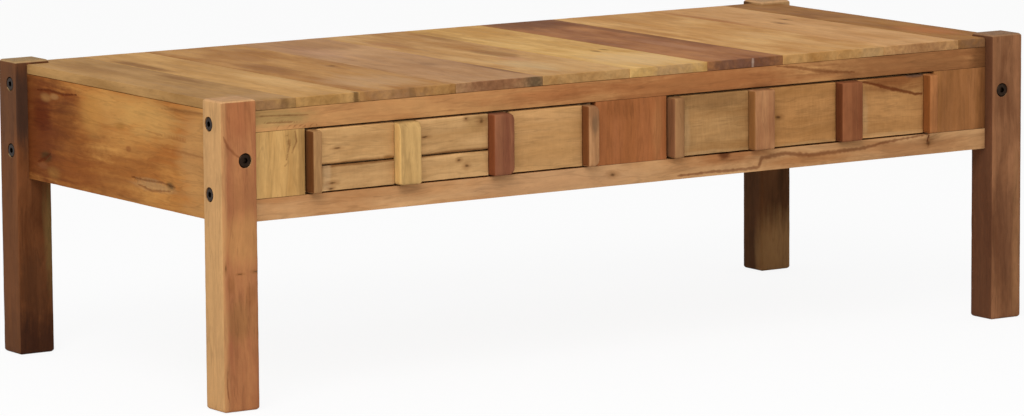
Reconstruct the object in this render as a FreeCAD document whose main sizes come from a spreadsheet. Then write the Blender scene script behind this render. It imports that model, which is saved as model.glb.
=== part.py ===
import FreeCAD, Part
import Sketcher
import os

# A low coffee table of reclaimed boards with two drawers in its front.
# Four legs stand at the corners, wide boards close the ends and the back, and a frame of rails and stiles
# holds the drawers. The top is ten boards laid from front to back. Socket bolts and barrel nuts draw the
# legs to the boards. X runs along the table, -Y is the front and Z is up, with the origin on the floor
# under the middle of the table. All sizes are millimetres.

SIZES = [
    # Widths of the top boards from left to right; together they make the length of the table.
    ("board_width_1", 88),
    ("board_width_2", 82),
    ("board_width_3", 125),
    ("board_width_4", 116),
    ("board_width_5", 118),
    ("board_width_6", 108),
    ("board_width_7", 106.5),
    ("board_width_8", 146.5),
    ("board_width_9", 110),
    ("board_width_10", 70),
    ("top_thickness", 11),
    # The table as a whole, over the leg faces and the leg tops.
    ("table_depth", 500),
    ("table_height", 340),
    # Legs, and how far the boards between them lie behind the leg faces.
    ("leg_width", 45),
    ("leg_depth", 40),
    ("leg_round", 3),
    ("leg_proud", 4),
    ("notch_gap", 0.2),
    ("long_setback", 13),
    ("end_setback", 15),
    # Boards between the legs: front frame, back panel and end panels.
    ("apron_height", 121),
    ("frame_thickness", 27),
    ("end_thickness", 30),
    ("board_round", 0.8),
    ("top_rail_height", 23.5),
    ("bottom_rail_height", 24.5),
    ("left_stile_width", 68.5),
    ("centre_stile_width", 97.5),
    ("right_stile_width", 77),
    # Bearers under the top and runners under the drawers.
    ("bearer_width", 30),
    ("bearer_spacing", 180),
    ("runner_wall", 18),
    ("runner_wall_height", 40),
    ("runner_ledge_width", 18),
    ("runner_ledge_height", 16),
    # Drawer fronts: gaps in the opening, flat panels and raised battens.
    ("front_side_gap", 2.5),
    ("front_top_gap", 2),
    ("front_bottom_gap", 1.5),
    ("panel_proud", 1),
    ("panel_thickness", 8),
    ("panel_joint_gap", 1),
    ("lower_panel_height", 28.5),
    ("batten_thickness", 20),
    ("batten_round", 3),
    ("batten_corner_round", 8),
    # Battens and panels of each front from left to right; the last panel takes what the others leave.
    ("left_batten_width_1", 12.5),
    ("left_panel_width_1", 100),
    ("left_batten_width_2", 28.5),
    ("left_panel_width_2", 95),
    ("left_batten_width_3", 28),
    ("left_batten_width_4", 16),
    ("right_batten_width_1", 15),
    ("right_panel_width_1", 97.5),
    ("right_batten_width_2", 29.5),
    ("right_panel_width_2", 95.5),
    ("right_batten_width_3", 31),
    ("right_batten_width_4", 13),
    # Drawer boxes.
    ("running_gap", 0.3),
    ("box_top_gap", 3),
    ("box_rear_gap", 8),
    ("box_front_thickness", 14),
    ("box_side_thickness", 12),
    ("box_back_thickness", 12),
    ("bottom_thickness", 4),
    ("bottom_lift", 8),
    ("groove_depth", 5),
    ("groove_gap", 0.2),
    # Leg bolts and their barrel nuts.
    ("bolt_diameter", 8),
    ("bolt_head_diameter", 15.5),
    ("bolt_head_height", 4.5),
    ("bolt_head_chamfer", 1),
    ("bolt_head_recess", 0.5),
    ("bolt_head_gap", 0.5),
    ("bolt_hole_gap", 0.1),
    ("bolt_overrun", 4),
    ("bolt_tip_gap", 1),
    ("socket_radius", 3.5),
    ("socket_depth", 3),
    ("nut_diameter", 12),
    ("nut_length", 18),
    ("nut_setback", 30),
    ("lower_bolt_rise", 8),
    ("middle_bolt_rise", 70),
    # Wood screws.
    ("screw_diameter", 3.5),
    ("screw_head_diameter", 7),
    ("screw_hole_gap", 0.1),
    ("top_screw_bite", 7),
    ("box_screw_bite", 20),
    ("box_screw_inset", 16),
]
TOP_BOARDS = 10
DRAWER_PANELS = 3

doc = FreeCAD.newDocument("coffee_table")
sheet = doc.addObject("Spreadsheet::Sheet", "sizes")
for row, (alias, value) in enumerate(SIZES, start=1):
    sheet.set(f"A{row}", alias)
    sheet.set(f"B{row}", str(value))
    sheet.setAlias(f"B{row}", alias)
doc.recompute()

nodes = []
corners = {}

# Places that follow from the sizes, as expressions on the sheet.
top_length = "(" + " + ".join(f"sizes.board_width_{n}" for n in range(1, TOP_BOARDS + 1)) + ")"
half_top = f"({top_length} / 2)"
half_length = f"({half_top} + sizes.end_setback)"
half_depth = "(sizes.table_depth / 2)"
half_clear = f"({half_length} - sizes.leg_width)"
half_clear_depth = f"({half_depth} - sizes.leg_depth)"
apron_top = "(sizes.table_height - sizes.leg_proud - sizes.top_thickness)"
apron_bottom = f"({apron_top} - sizes.apron_height)"
frame_front = f"(sizes.long_setback - {half_depth})"
frame_back = f"({frame_front} + sizes.frame_thickness)"
frame_middle = f"({half_depth} - sizes.long_setback - sizes.frame_thickness / 2)"
end_inside = f"({half_top} - sizes.end_thickness)"
end_middle = f"({half_top} - sizes.end_thickness / 2)"

opening_bottom = f"({apron_bottom} + sizes.bottom_rail_height)"
opening_top = f"({apron_top} - sizes.top_rail_height)"
opening_height = f"({opening_top} - {opening_bottom})"
stiles = "(sizes.left_stile_width + sizes.centre_stile_width + sizes.right_stile_width)"
opening_width = f"(({half_clear} * 2 - {stiles}) / 2)"
opening_left = {
    "left": f"(sizes.left_stile_width - {half_clear})",
    "right": f"({half_clear} - sizes.right_stile_width - {opening_width})",
}

upper_bolt = f"({apron_top} - sizes.top_rail_height / 2)"
lower_bolt = f"({opening_bottom} + sizes.lower_bolt_rise)"
middle_bolt = f"({apron_bottom} + sizes.middle_bolt_rise)"

OUTWARD = {"left": -1, "right": 1, "front": -1, "back": 1}
UP = (0, 0, 1)


def vector(direction):
    return FreeCAD.Vector(*direction)


def place(obj, corner, rotation=FreeCAD.Rotation()):
    """Put an object at a corner given as three expressions, turned by a fixed rotation."""
    obj.Placement = FreeCAD.Placement(FreeCAD.Vector(), rotation)
    for axis, text in zip("xyz", corner):
        obj.setExpression(f"Placement.Base.{axis}", text)


def rectangle(body, width, depth):
    """A constrained rectangle on the body's own XY plane, from the origin to width and depth."""
    plane = [feature for feature in body.Origin.OriginFeatures if feature.Role == "XY_Plane"]
    sketch = body.newObject("Sketcher::SketchObject", "outline")
    sketch.AttachmentSupport = [(plane[0], "")]
    sketch.MapMode = "FlatFace"
    points = [vector(point) for point in ((0, 0, 0), (20, 0, 0), (20, 10, 0), (0, 10, 0))]
    for index in range(4):
        sketch.addGeometry(Part.LineSegment(points[index], points[(index + 1) % 4]), False)
    for index in range(4):
        sketch.addConstraint(Sketcher.Constraint("Coincident", index, 2, (index + 1) % 4, 1))
        direction = "Horizontal" if index % 2 == 0 else "Vertical"
        sketch.addConstraint(Sketcher.Constraint(direction, index))
    sketch.addConstraint(Sketcher.Constraint("Coincident", 0, 1, -1, 1))
    for name, kind, line, text in (("width", "DistanceX", 0, width), ("depth", "DistanceY", 1, depth)):
        number = sketch.addConstraint(Sketcher.Constraint(kind, line, 1, line, 2, 10))
        sketch.renameConstraint(number, name)
        sketch.setExpression(f"Constraints.{name}", text)
    return sketch


def board(label, corner, size, rounding=None):
    """A sawn board as a body, with its lowest corner and its three sizes as expressions."""
    body = doc.addObject("PartDesign::Body", label)
    body.Label = label
    pad = body.newObject("PartDesign::Pad", "plank")
    pad.Profile = rectangle(body, size[0], size[1])
    pad.setExpression("Length", size[2])
    place(body, corner)
    corners[label] = corner
    nodes.append(body)
    if rounding:
        doc.recompute()
        fillet = body.newObject("PartDesign::Fillet", "arris")
        fillet.Base = (pad, ["Edge1"])
        fillet.UseAllEdges = True
        fillet.setExpression("Radius", rounding)
        body.Tip = fillet
    return body


def inside(body, point):
    """The same point in the frame of a body, which has its own lowest corner as origin."""
    return [f"{text} - {corner}" for text, corner in zip(point, corners[body.Label])]


def bore(body, start, toward, diameter, depth):
    """A round hole from a point of the table, along a direction, cut in one body."""
    hole = body.newObject("PartDesign::SubtractiveCylinder", "bore")
    hole.setExpression("Radius", f"({diameter}) / 2")
    hole.setExpression("Height", depth)
    place(hole, inside(body, start), FreeCAD.Rotation(vector(UP), vector(toward)))
    body.Tip = hole


def countersink(body, start, toward):
    """The conical seat of a screw head, with its rim on a face of the body."""
    seat = body.newObject("PartDesign::SubtractiveCone", "countersink")
    seat.setExpression("Radius1", "sizes.screw_head_diameter / 2 + sizes.screw_hole_gap")
    seat.setExpression("Radius2", "sizes.screw_diameter / 2 + sizes.screw_hole_gap")
    seat.setExpression("Height", screw_head_height)
    place(seat, inside(body, start), FreeCAD.Rotation(vector(UP), vector(toward)))
    body.Tip = seat


def groove(body, corner, size):
    """A rectangular groove given by its lowest corner in the table and its size."""
    cut = body.newObject("PartDesign::SubtractiveBox", "groove")
    for name, text in zip(("Length", "Width", "Height"), size):
        cut.setExpression(name, text)
    place(cut, inside(body, corner))
    body.Tip = cut


def round_front(body, rounding):
    """Ease the arrises of a body that show from the front; its glued back stays square."""
    doc.recompute()
    plank = body.Tip
    glued = max(vertex.Point.y for vertex in plank.Shape.Vertexes)
    showing = []
    for number, edge in enumerate(plank.Shape.Edges, start=1):
        if all(vertex.Point.y < glued for vertex in edge.Vertexes):
            showing.append(f"Edge{number}")
    fillet = body.newObject("PartDesign::Fillet", "arris")
    fillet.Base = (plank, showing)
    fillet.setExpression("Radius", rounding)
    body.Tip = fillet


def round_right_corners(body, rounding):
    """Round the two right-hand corners of a body, as seen from the front."""
    doc.recompute()
    plank = body.Tip
    middle = plank.Shape.BoundBox.Center.x
    corners_seen = []
    for number, edge in enumerate(plank.Shape.Edges, start=1):
        runs_back = edge.BoundBox.YLength > edge.BoundBox.ZLength
        if runs_back and edge.BoundBox.XMin > middle:
            corners_seen.append(f"Edge{number}")
    fillet = body.newObject("PartDesign::Fillet", "corner")
    fillet.Base = (plank, corners_seen)
    fillet.setExpression("Radius", rounding)
    body.Tip = fillet


def group(label, fastener, seats):
    """Identical fasteners as one node: a copy of the fastener at each seat, given by place and rotation."""
    copies = []
    for corner, rotation in seats:
        copy = doc.addObject("App::Link", f"{label}_copy")
        copy.LinkedObject = fastener
        place(copy, corner, rotation)
        copies.append(copy)
    compound = doc.addObject("Part::Compound", label)
    compound.Label = label
    compound.Links = copies
    nodes.append(compound)


# Legs, with the holes and head seats of their bolts.
bolt_hole = "sizes.bolt_diameter + sizes.bolt_hole_gap * 2"
bolt_seat = "sizes.bolt_head_diameter + sizes.bolt_head_gap * 2"
seat_depth = "(sizes.bolt_head_recess + sizes.bolt_head_height)"


def signed(sign, text):
    return text if sign > 0 else f"-{text}"


def leg(row, side):
    """One corner post; two bolts pass it along X and one along Y."""
    end, face = OUTWARD[side], OUTWARD[row]
    corner_x = f"-{half_length}" if end < 0 else half_clear
    corner_y = f"-{half_depth}" if face < 0 else half_clear_depth
    size = ("sizes.leg_width", "sizes.leg_depth", "sizes.table_height")
    post = board(f"leg_{row}_{side}", (corner_x, corner_y, "0"), size, "sizes.leg_round")
    for height in (upper_bolt, lower_bolt):
        start = (signed(end, half_length), signed(face, frame_middle), height)
        bore(post, start, (-end, 0, 0), bolt_hole, "sizes.leg_width")
        bore(post, start, (-end, 0, 0), bolt_seat, seat_depth)
    start = (signed(end, end_middle), signed(face, half_depth), middle_bolt)
    bore(post, start, (0, -face, 0), bolt_hole, "sizes.leg_depth")
    bore(post, start, (0, -face, 0), bolt_seat, seat_depth)


for row in ("front", "back"):
    for side in ("left", "right"):
        leg(row, side)


# Boards between the legs, each with a blind hole for a bolt and a cross hole for its barrel nut.
bolt_reach = "(sizes.nut_setback + sizes.nut_diameter / 2 + sizes.bolt_overrun)"
bolt_blind = f"{bolt_reach} + sizes.bolt_tip_gap"
nut_hole = "sizes.nut_diameter + sizes.bolt_hole_gap * 2"


def long_board_bolt(panel, row, side, height):
    """Bolt hole in the end of a rail, stile or back panel; the nut goes in from the inner face."""
    end, face = OUTWARD[side], OUTWARD[row]
    middle = signed(face, frame_middle)
    bore(panel, (signed(end, half_clear), middle, height), (-end, 0, 0), bolt_hole, bolt_blind)
    nut_x = signed(end, f"({half_clear} - sizes.nut_setback)")
    inner_y = signed(face, f"({frame_middle} - sizes.frame_thickness / 2)")
    depth = "(sizes.frame_thickness + sizes.nut_length) / 2"
    bore(panel, (nut_x, inner_y, height), (0, face, 0), nut_hole, depth)


def end_board_bolt(panel, row, side):
    """Bolt hole in the end of an end panel; the nut goes in from the inner face."""
    end, face = OUTWARD[side], OUTWARD[row]
    middle = signed(end, end_middle)
    bore(panel, (middle, signed(face, half_clear_depth), middle_bolt), (0, -face, 0), bolt_hole, bolt_blind)
    nut_y = signed(face, f"({half_clear_depth} - sizes.nut_setback)")
    depth = "(sizes.end_thickness + sizes.nut_length) / 2"
    bore(panel, (signed(end, end_inside), nut_y, middle_bolt), (end, 0, 0), nut_hole, depth)


for side in ("left", "right"):
    corner_x = f"-{half_top}" if side == "left" else end_inside
    end_size = ("sizes.end_thickness", f"{half_clear_depth} * 2", "sizes.apron_height")
    end_panel = board(
        f"end_panel_{side}", (corner_x, f"-{half_clear_depth}", apron_bottom), end_size, "sizes.board_round"
    )
    for row in ("front", "back"):
        end_board_bolt(end_panel, row, side)

back_inside = f"({frame_middle} - sizes.frame_thickness / 2)"
long_size = (f"{half_clear} * 2", "sizes.frame_thickness")
back_panel = board(
    "back_panel",
    (f"-{half_clear}", back_inside, apron_bottom),
    (*long_size, "sizes.apron_height"),
    "sizes.board_round",
)
for side in ("left", "right"):
    for height in (upper_bolt, lower_bolt):
        long_board_bolt(back_panel, "back", side, height)

# Front frame: two full-length rails with three stiles between them.
top_rail = board(
    "front_top_rail",
    (f"-{half_clear}", frame_front, opening_top),
    (*long_size, "sizes.top_rail_height"),
    "sizes.board_round",
)
board(
    "front_bottom_rail",
    (f"-{half_clear}", frame_front, apron_bottom),
    (*long_size, "sizes.bottom_rail_height"),
    "sizes.board_round",
)
stile_left_edge = {
    "left": f"-{half_clear}",
    "centre": f"({opening_left['left']} + {opening_width})",
    "right": f"({half_clear} - sizes.right_stile_width)",
}
for name, left_edge in stile_left_edge.items():
    stile = board(
        f"front_stile_{name}",
        (left_edge, frame_front, opening_bottom),
        (f"sizes.{name}_stile_width", "sizes.frame_thickness", opening_height),
        "sizes.board_round",
    )
    if name in OUTWARD:
        long_board_bolt(top_rail, "front", name, upper_bolt)
        long_board_bolt(stile, "front", name, lower_bolt)

# Bearers: two strips from end panel to end panel, flush with the underside of the top rail.
screw_head_height = "(sizes.screw_head_diameter - sizes.screw_diameter) / 2"
screw_hole = "sizes.screw_diameter + sizes.screw_hole_gap * 2"
bearer_centres = {"front": "(-sizes.bearer_spacing / 2)", "back": "(sizes.bearer_spacing / 2)"}
bearers = {}
for name, centre in bearer_centres.items():
    bearers[name] = board(
        f"top_bearer_{name}",
        (f"-{end_inside}", f"({centre} - sizes.bearer_width / 2)", opening_top),
        (f"{end_inside} * 2", "sizes.bearer_width", "sizes.top_rail_height"),
        "sizes.board_round",
    )

# Top boards, laid side by side from the left end, each held by a screw up through both bearers.
# The first and last board lie on an end panel, so their screws stand inside that panel, and their corners
# are notched round the legs.
top_depth = f"({half_depth} - sizes.long_setback) * 2"


def notch(top_board, row, side):
    """Cut a corner of a top board away, as large as the leg that stands there and a little clearance."""
    width = "sizes.leg_width + sizes.notch_gap"
    depth = "sizes.leg_depth + sizes.notch_gap"
    corner_x = f"-{half_length}" if side == "left" else f"({half_clear} - sizes.notch_gap)"
    corner_y = f"-{half_depth}" if row == "front" else f"({half_clear_depth} - sizes.notch_gap)"
    groove(top_board, (corner_x, corner_y, apron_top), (width, depth, "sizes.top_thickness"))


screw_points = []
left_edge = f"(-{half_top})"
for number in range(1, TOP_BOARDS + 1):
    width = f"sizes.board_width_{number}"
    top_board = board(
        f"top_board_{number:02d}",
        (left_edge, frame_front, apron_top),
        (width, top_depth, "sizes.top_thickness"),
        "sizes.board_round",
    )
    screw_x = f"({left_edge} + {width} / 2)"
    if number == 1:
        screw_x = f"({left_edge} + ({width} + sizes.end_thickness) / 2)"
    if number == TOP_BOARDS:
        screw_x = f"({left_edge} + ({width} - sizes.end_thickness) / 2)"
    for side, last in (("left", 1), ("right", TOP_BOARDS)):
        if number == last:
            notch(top_board, "front", side)
            notch(top_board, "back", side)
    for name, centre in bearer_centres.items():
        point = (screw_x, centre, opening_top)
        bore(bearers[name], point, UP, screw_hole, "sizes.top_rail_height")
        countersink(bearers[name], point, UP)
        pilot_depth = "sizes.top_screw_bite + sizes.screw_hole_gap"
        bore(top_board, (screw_x, centre, apron_top), UP, screw_hole, pilot_depth)
        screw_points.append(point)
    left_edge = f"({left_edge} + {width})"

# Runners: an upright wall behind each edge of an opening, with a ledge under the side of the drawer.
runner_depth = f"({frame_middle} * 2 - sizes.frame_thickness)"
ledge_bottom = f"({opening_bottom} - sizes.runner_ledge_height)"


def runner(label, edge, inward):
    wall_left = f"({edge} - sizes.runner_wall)" if inward > 0 else edge
    wall_height = "sizes.runner_ledge_height + sizes.runner_wall_height"
    wall_size = ("sizes.runner_wall", runner_depth, wall_height)
    body = board(label, (wall_left, frame_back, ledge_bottom), wall_size)
    ledge = body.newObject("PartDesign::AdditiveBox", "ledge")
    ledge.setExpression("Length", "sizes.runner_ledge_width")
    ledge.setExpression("Width", runner_depth)
    ledge.setExpression("Height", "sizes.runner_ledge_height")
    ledge_left = edge if inward > 0 else f"({edge} - sizes.runner_ledge_width)"
    place(ledge, inside(body, (ledge_left, frame_back, ledge_bottom)))
    body.Tip = ledge


for name, edge in opening_left.items():
    runner(f"runner_{name}_drawer_left", edge, 1)
    runner(f"runner_{name}_drawer_right", f"({edge} + {opening_width})", -1)

# Drawer fronts stand in the openings: panels and battens are glued to the front of the drawer box.
front_bottom = f"({opening_bottom} + sizes.front_bottom_gap)"
front_height = f"({opening_height} - sizes.front_bottom_gap - sizes.front_top_gap)"
front_width = f"({opening_width} - sizes.front_side_gap * 2)"
glue_face = f"({frame_front} - sizes.panel_proud + sizes.panel_thickness)"
panel_face = f"({glue_face} - sizes.panel_thickness)"
batten_face = f"({glue_face} - sizes.batten_thickness)"
SPLIT_PANELS = {"left": (1, 2), "right": ()}
ROUNDED_BATTENS = {"left": (3, 4), "right": ()}


def drawer_panel(name, number, left_edge, width):
    """A flat panel of a drawer front: one board, or a lower and an upper one with an open joint."""
    upper_bottom = f"({front_bottom} + sizes.lower_panel_height + sizes.panel_joint_gap)"
    upper_height = f"({front_height} - sizes.lower_panel_height - sizes.panel_joint_gap)"
    pieces = [("", front_bottom, front_height)]
    if number in SPLIT_PANELS[name]:
        pieces = [
            ("_lower", front_bottom, "sizes.lower_panel_height"),
            ("_upper", upper_bottom, upper_height),
        ]
    for suffix, bottom, height in pieces:
        tile = board(
            f"drawer_{name}_panel_{number}{suffix}",
            (left_edge, panel_face, bottom),
            (width, "sizes.panel_thickness", height),
        )
        round_front(tile, "sizes.board_round")


def drawer_front(name, left_edge):
    """Battens and panels in turn, from the left edge of a drawer front."""
    batten_widths = [f"sizes.{name}_batten_width_{n}" for n in range(1, DRAWER_PANELS + 2)]
    panel_widths = [f"sizes.{name}_panel_width_{n}" for n in range(1, DRAWER_PANELS)]
    taken = " - ".join(batten_widths + panel_widths)
    panel_widths.append(f"({front_width} - {taken})")
    for number, width in enumerate(batten_widths, start=1):
        batten = board(
            f"drawer_{name}_batten_{number}",
            (left_edge, batten_face, front_bottom),
            (width, "sizes.batten_thickness", front_height),
        )
        if number in ROUNDED_BATTENS[name]:
            round_right_corners(batten, "sizes.batten_corner_round")
        round_front(batten, "sizes.batten_round")
        left_edge = f"({left_edge} + {width})"
        if number <= DRAWER_PANELS:
            panel_width = panel_widths[number - 1]
            drawer_panel(name, number, left_edge, panel_width)
            left_edge = f"({left_edge} + {panel_width})"


# Drawer boxes: the bottom slides in grooves of the front and the sides, and runs under the back.
box_front_back = f"({glue_face} + sizes.box_front_thickness)"
box_rear = f"({frame_middle} - sizes.frame_thickness / 2 - sizes.box_rear_gap)"
box_bottom = f"({opening_bottom} + sizes.running_gap)"
box_top = f"({opening_top} - sizes.box_top_gap)"
bottom_z = f"({box_bottom} + sizes.bottom_lift)"
bottom_top = f"({bottom_z} + sizes.bottom_thickness)"
bottom_tongue = "(sizes.groove_depth - sizes.groove_gap)"
groove_z = f"({bottom_z} - sizes.groove_gap)"
groove_height = "(sizes.bottom_thickness + sizes.groove_gap * 2)"
box_screws = {}


def drawer_box(name, left_edge):
    right_edge = f"({left_edge} + {front_width})"
    inner_left = f"({left_edge} + sizes.box_side_thickness)"
    inner_right = f"({right_edge} - sizes.box_side_thickness)"
    inner_width = f"({front_width} - sizes.box_side_thickness * 2)"
    side_length = f"({box_rear} - {box_front_back})"
    groove_left = f"({inner_left} - sizes.groove_depth)"

    box_front = board(
        f"drawer_{name}_box_front",
        (left_edge, glue_face, front_bottom),
        (front_width, "sizes.box_front_thickness", front_height),
    )
    groove(
        box_front,
        (groove_left, f"({box_front_back} - sizes.groove_depth)", groove_z),
        (f"{inner_width} + sizes.groove_depth * 2", "sizes.groove_depth", groove_height),
    )
    sides = {}
    for side, side_left, groove_x in (
        ("left", left_edge, groove_left),
        ("right", inner_right, inner_right),
    ):
        sides[side] = board(
            f"drawer_{name}_side_{side}",
            (side_left, box_front_back, box_bottom),
            ("sizes.box_side_thickness", side_length, f"{box_top} - {box_bottom}"),
        )
        groove(
            sides[side],
            (groove_x, box_front_back, groove_z),
            ("sizes.groove_depth", side_length, groove_height),
        )
    back = board(
        f"drawer_{name}_back",
        (inner_left, f"({box_rear} - sizes.box_back_thickness)", bottom_top),
        (inner_width, "sizes.box_back_thickness", f"{box_top} - {bottom_top}"),
    )
    bottom_width = f"{inner_width} + {bottom_tongue} * 2"
    bottom_length = f"{side_length} + {bottom_tongue}"
    board(
        f"drawer_{name}_bottom",
        (f"({inner_left} - {bottom_tongue})", f"({box_front_back} - {bottom_tongue})", bottom_z),
        (bottom_width, bottom_length, "sizes.bottom_thickness"),
    )
    box_screws[name] = drawer_screw_seats(box_front, sides, back, left_edge, right_edge)


def drawer_screw_seats(box_front, sides, back, left_edge, right_edge):
    """Drill the box for its screws, and give the place and rotation of each screw."""
    seats = []
    heights = (f"({bottom_top} + sizes.box_screw_inset)", f"({box_top} - sizes.box_screw_inset)")
    back_middle = f"({box_rear} - sizes.box_back_thickness / 2)"
    bite = "sizes.box_screw_bite + sizes.screw_hole_gap"
    for side, edge in (("left", left_edge), ("right", right_edge)):
        inward = -OUTWARD[side]
        half_side = signed(inward, "sizes.box_side_thickness / 2")
        side_inner = f"({edge} + {signed(inward, 'sizes.box_side_thickness')})"
        for height in heights:
            front_point = (f"({edge} + {half_side})", glue_face, height)
            front_way = (0, 1, 0)
            bore(box_front, front_point, front_way, screw_hole, "sizes.box_front_thickness")
            countersink(box_front, front_point, front_way)
            bore(sides[side], (front_point[0], box_front_back, height), front_way, screw_hole, bite)
            seats.append((front_point, FreeCAD.Rotation(vector(UP), vector(front_way))))

            back_point = (edge, back_middle, height)
            back_way = (inward, 0, 0)
            bore(sides[side], back_point, back_way, screw_hole, "sizes.box_side_thickness")
            countersink(sides[side], back_point, back_way)
            bore(back, (side_inner, back_middle, height), back_way, screw_hole, bite)
            seats.append((back_point, FreeCAD.Rotation(vector(UP), vector(back_way))))
    return seats


for name, edge in opening_left.items():
    front_left = f"({edge} + sizes.front_side_gap)"
    drawer_front(name, front_left)
    drawer_box(name, front_left)


# Fasteners. Each kind is modelled once, pointing along its own Z, and copied to its seats.
def cylinder(body, diameter, depth, start="0"):
    shaft = body.newObject("PartDesign::AdditiveCylinder", "shaft")
    shaft.setExpression("Radius", f"({diameter}) / 2")
    shaft.setExpression("Height", depth)
    place(shaft, ("0", "0", start))
    body.Tip = shaft
    return shaft


def leg_bolt(label, leg_size):
    """Socket-head bolt: chamfered round head with a hexagon socket, and a plain shank."""
    body = doc.addObject("PartDesign::Body", label)
    head = cylinder(body, "sizes.bolt_head_diameter", "sizes.bolt_head_height")
    doc.recompute()
    rim = [
        f"Edge{number}"
        for number, edge in enumerate(head.Shape.Edges, start=1)
        if edge.Closed and abs(edge.CenterOfMass.z) < 1e-6
    ]
    chamfer = body.newObject("PartDesign::Chamfer", "rim")
    chamfer.Base = (head, rim)
    chamfer.setExpression("Size", "sizes.bolt_head_chamfer")
    body.Tip = chamfer
    socket = body.newObject("PartDesign::SubtractivePrism", "socket")
    socket.Polygon = 6
    socket.setExpression("Circumradius", "sizes.socket_radius")
    socket.setExpression("Height", "sizes.socket_depth")
    body.Tip = socket
    shank = f"{leg_size} - {seat_depth} + {bolt_reach}"
    cylinder(body, "sizes.bolt_diameter", shank, "sizes.bolt_head_height")
    return body


def barrel_nut():
    """Cross dowel, centred on the bolt that runs through it."""
    body = doc.addObject("PartDesign::Body", "barrel_nut")
    cylinder(body, "sizes.nut_diameter", "sizes.nut_length", "-sizes.nut_length / 2")
    thread = body.newObject("PartDesign::SubtractiveCylinder", "thread")
    thread.setExpression("Radius", f"({bolt_hole}) / 2")
    thread.setExpression("Height", "sizes.nut_diameter")
    place(thread, ("-sizes.nut_diameter / 2", "0", "0"), FreeCAD.Rotation(vector(UP), vector((1, 0, 0))))
    body.Tip = thread
    return body


def wood_screw(label, grip, bite):
    """Countersunk screw; grip is what its head holds and bite is what its thread enters."""
    body = doc.addObject("PartDesign::Body", label)
    head = body.newObject("PartDesign::AdditiveCone", "head")
    head.setExpression("Radius1", "sizes.screw_head_diameter / 2")
    head.setExpression("Radius2", "sizes.screw_diameter / 2")
    head.setExpression("Height", screw_head_height)
    body.Tip = head
    cylinder(body, "sizes.screw_diameter", f"{grip} + {bite} - {screw_head_height}", screw_head_height)
    return body


end_bolt_seats = []
side_bolt_seats = []
nut_seats = []
head_face = f"({half_length} - sizes.bolt_head_recess)"
side_head_face = f"({half_depth} - sizes.bolt_head_recess)"
long_nut_turn = FreeCAD.Rotation(vector((1, 0, 0)), vector((0, 0, -1)), vector((0, 1, 0)), "ZXY")
end_nut_turn = FreeCAD.Rotation(vector((0, 1, 0)), vector((0, 0, 1)), vector((1, 0, 0)), "ZXY")
for row in ("front", "back"):
    for side in ("left", "right"):
        end, face = OUTWARD[side], OUTWARD[row]
        end_turn = FreeCAD.Rotation(vector(UP), vector((-end, 0, 0)))
        nut_x = signed(end, f"({half_clear} - sizes.nut_setback)")
        for height in (upper_bolt, lower_bolt):
            middle = signed(face, frame_middle)
            end_bolt_seats.append(((signed(end, head_face), middle, height), end_turn))
            nut_seats.append(((nut_x, middle, height), long_nut_turn))
        side_turn = FreeCAD.Rotation(vector(UP), vector((0, -face, 0)))
        middle = signed(end, end_middle)
        side_bolt_seats.append(((middle, signed(face, side_head_face), middle_bolt), side_turn))
        nut_y = signed(face, f"({half_clear_depth} - sizes.nut_setback)")
        nut_seats.append(((middle, nut_y, middle_bolt), end_nut_turn))

group("end_face_bolts", leg_bolt("end_face_bolt", "sizes.leg_width"), end_bolt_seats)
group("long_face_bolts", leg_bolt("long_face_bolt", "sizes.leg_depth"), side_bolt_seats)
group("barrel_nuts", barrel_nut(), nut_seats)
top_screw = wood_screw("top_screw", "sizes.top_rail_height", "sizes.top_screw_bite")
group("top_screws", top_screw, [(point, FreeCAD.Rotation()) for point in screw_points])
box_screw = wood_screw("box_screw", "sizes.box_side_thickness", "sizes.box_screw_bite")
for name, seats in box_screws.items():
    group(f"drawer_{name}_screws", box_screw, seats)

doc.recompute()

for obj in doc.Objects:
    if "Invalid" in obj.State or "Error" in obj.State:
        raise RuntimeError(f"{obj.Label} did not compute: {obj.State}")
for node in nodes:
    if node.Shape.isNull() or not node.Shape.isValid():
        raise RuntimeError(f"{node.Label} has no valid shape")

os.makedirs("parts", exist_ok=True)
for node in nodes:
    node.Shape.exportStep(os.path.join("parts", f"{node.Label}.step"))
print(len(nodes), "sub-parts written")
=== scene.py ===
import math
import bmesh
import bpy
from mathutils import Matrix, Vector, geometry, noise


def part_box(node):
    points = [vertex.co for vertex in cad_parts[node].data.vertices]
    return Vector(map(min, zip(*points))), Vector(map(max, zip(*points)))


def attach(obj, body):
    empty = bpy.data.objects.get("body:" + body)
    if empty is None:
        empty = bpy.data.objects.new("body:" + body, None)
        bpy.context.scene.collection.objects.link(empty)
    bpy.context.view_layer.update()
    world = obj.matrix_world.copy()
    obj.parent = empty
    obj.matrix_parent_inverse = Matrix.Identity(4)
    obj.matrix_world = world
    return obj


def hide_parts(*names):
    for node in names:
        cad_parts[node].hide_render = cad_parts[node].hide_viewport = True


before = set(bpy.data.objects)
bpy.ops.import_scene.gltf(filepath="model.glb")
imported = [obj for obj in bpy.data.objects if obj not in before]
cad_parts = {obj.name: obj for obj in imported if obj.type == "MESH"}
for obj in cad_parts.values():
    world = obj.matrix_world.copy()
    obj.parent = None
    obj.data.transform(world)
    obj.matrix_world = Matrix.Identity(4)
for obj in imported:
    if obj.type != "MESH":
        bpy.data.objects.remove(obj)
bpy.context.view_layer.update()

# Legs: four square posts of old hardwood, each sawn from another beam, planed and oiled.
# Their arrises and ends are worn round. Three bolts go through each post, and their heads lie in round seats.
MM = 0.001


def linear(colour):
    """An sRGB hex colour as the linear colour that shaders take."""
    channels = []
    for start in (0, 2, 4):
        value = int(colour[start:start + 2], 16) / 255
        channels.append(value / 12.92 if value <= 0.04045 else ((value + 0.055) / 1.055) ** 2.4)
    return (*channels, 1.0)


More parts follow.
